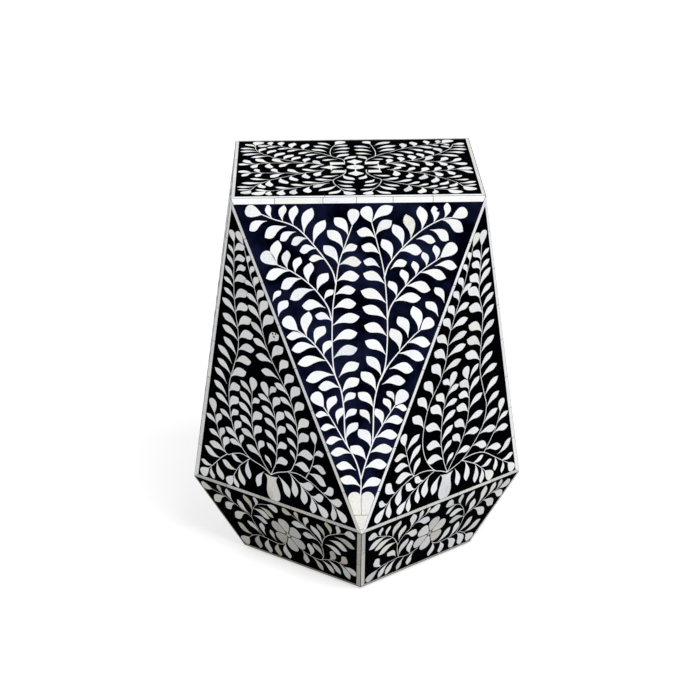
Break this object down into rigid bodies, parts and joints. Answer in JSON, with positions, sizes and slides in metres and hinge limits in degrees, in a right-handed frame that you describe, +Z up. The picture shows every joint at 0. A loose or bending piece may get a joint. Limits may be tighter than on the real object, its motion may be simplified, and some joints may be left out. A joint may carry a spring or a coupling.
{
  "type": "bone inlay stool",
  "caption": "Faceted stool with a square seat over a turned square waist and a tapered skirt, faced all over with bone leaves and strips set in dark resin.",
  "frame": {"origin": "on the floor below the middle of the seat", "axes": "+Z up, +X along the front edge of the seat to the viewer's right, front towards -Y"},
  "size_m": [0.3788, 0.3788, 0.457],
  "materials": {
    "bone": "polished bone, slightly warm white",
    "resin": "polished dark navy polyester resin",
    "fibreboard": "raw medium density fibreboard",
    "nylon": "moulded dark nylon"
  },
  "bodies": {
    "root": {"seat_board": "fibreboard", "seat_field": "resin", "seat_front_strip": "bone", "seat_right_strip": "bone", "seat_back_strip": "bone", "seat_left_strip": "bone", "front_face_board": "fibreboard", "front_face_field": "resin", "front_face_brow_strip": "bone", "front_face_tip_bone": "bone", "right_face_board": "fibreboard", "right_face_field": "resin", "right_face_brow_strip": "bone", "right_face_tip_bone": "bone", "back_face_board": "fibreboard", "back_face_field": "resin", "back_face_brow_strip": "bone", "back_face_tip_bone": "bone", "left_face_board": "fibreboard", "left_face_field": "resin", "left_face_brow_strip": "bone", "left_face_tip_bone": "bone", "front_right_flank_board": "fibreboard", "front_right_flank_field": "resin", "front_right_flank_border": "bone", "front_right_flank_vase": "bone", "back_right_flank_board": "fibreboard", "back_right_flank_field": "resin", "back_right_flank_border": "bone", "back_right_flank_vase": "bone", "back_left_flank_board": "fibreboard", "back_left_flank_field": "resin", "back_left_flank_border": "bone", "back_left_flank_vase": "bone", "front_left_flank_board": "fibreboard", "front_left_flank_field": "resin", "front_left_flank_border": "bone", "front_left_flank_vase": "bone", "front_right_skirt_board": "fibreboard", "front_right_skirt_field": "resin", "front_right_skirt_border": "bone", "front_right_skirt_rosette": "bone", "back_right_skirt_board": "fibreboard", "back_right_skirt_field": "resin", "back_right_skirt_border": "bone", "back_right_skirt_rosette": "bone", "back_left_skirt_board": "fibreboard", "back_left_skirt_field": "resin", "back_left_skirt_border": "bone", "back_left_skirt_rosette": "bone", "front_left_skirt_board": "fibreboard", "front_left_skirt_field": "resin", "front_left_skirt_border": "bone", "front_left_skirt_rosette": "bone", "base_board": "fibreboard", "seat_batten_frame": "fibreboard", "front_glide": "nylon", "right_glide": "nylon", "back_glide": "nylon", "left_glide": "nylon"}
  },
  "joints": []
}
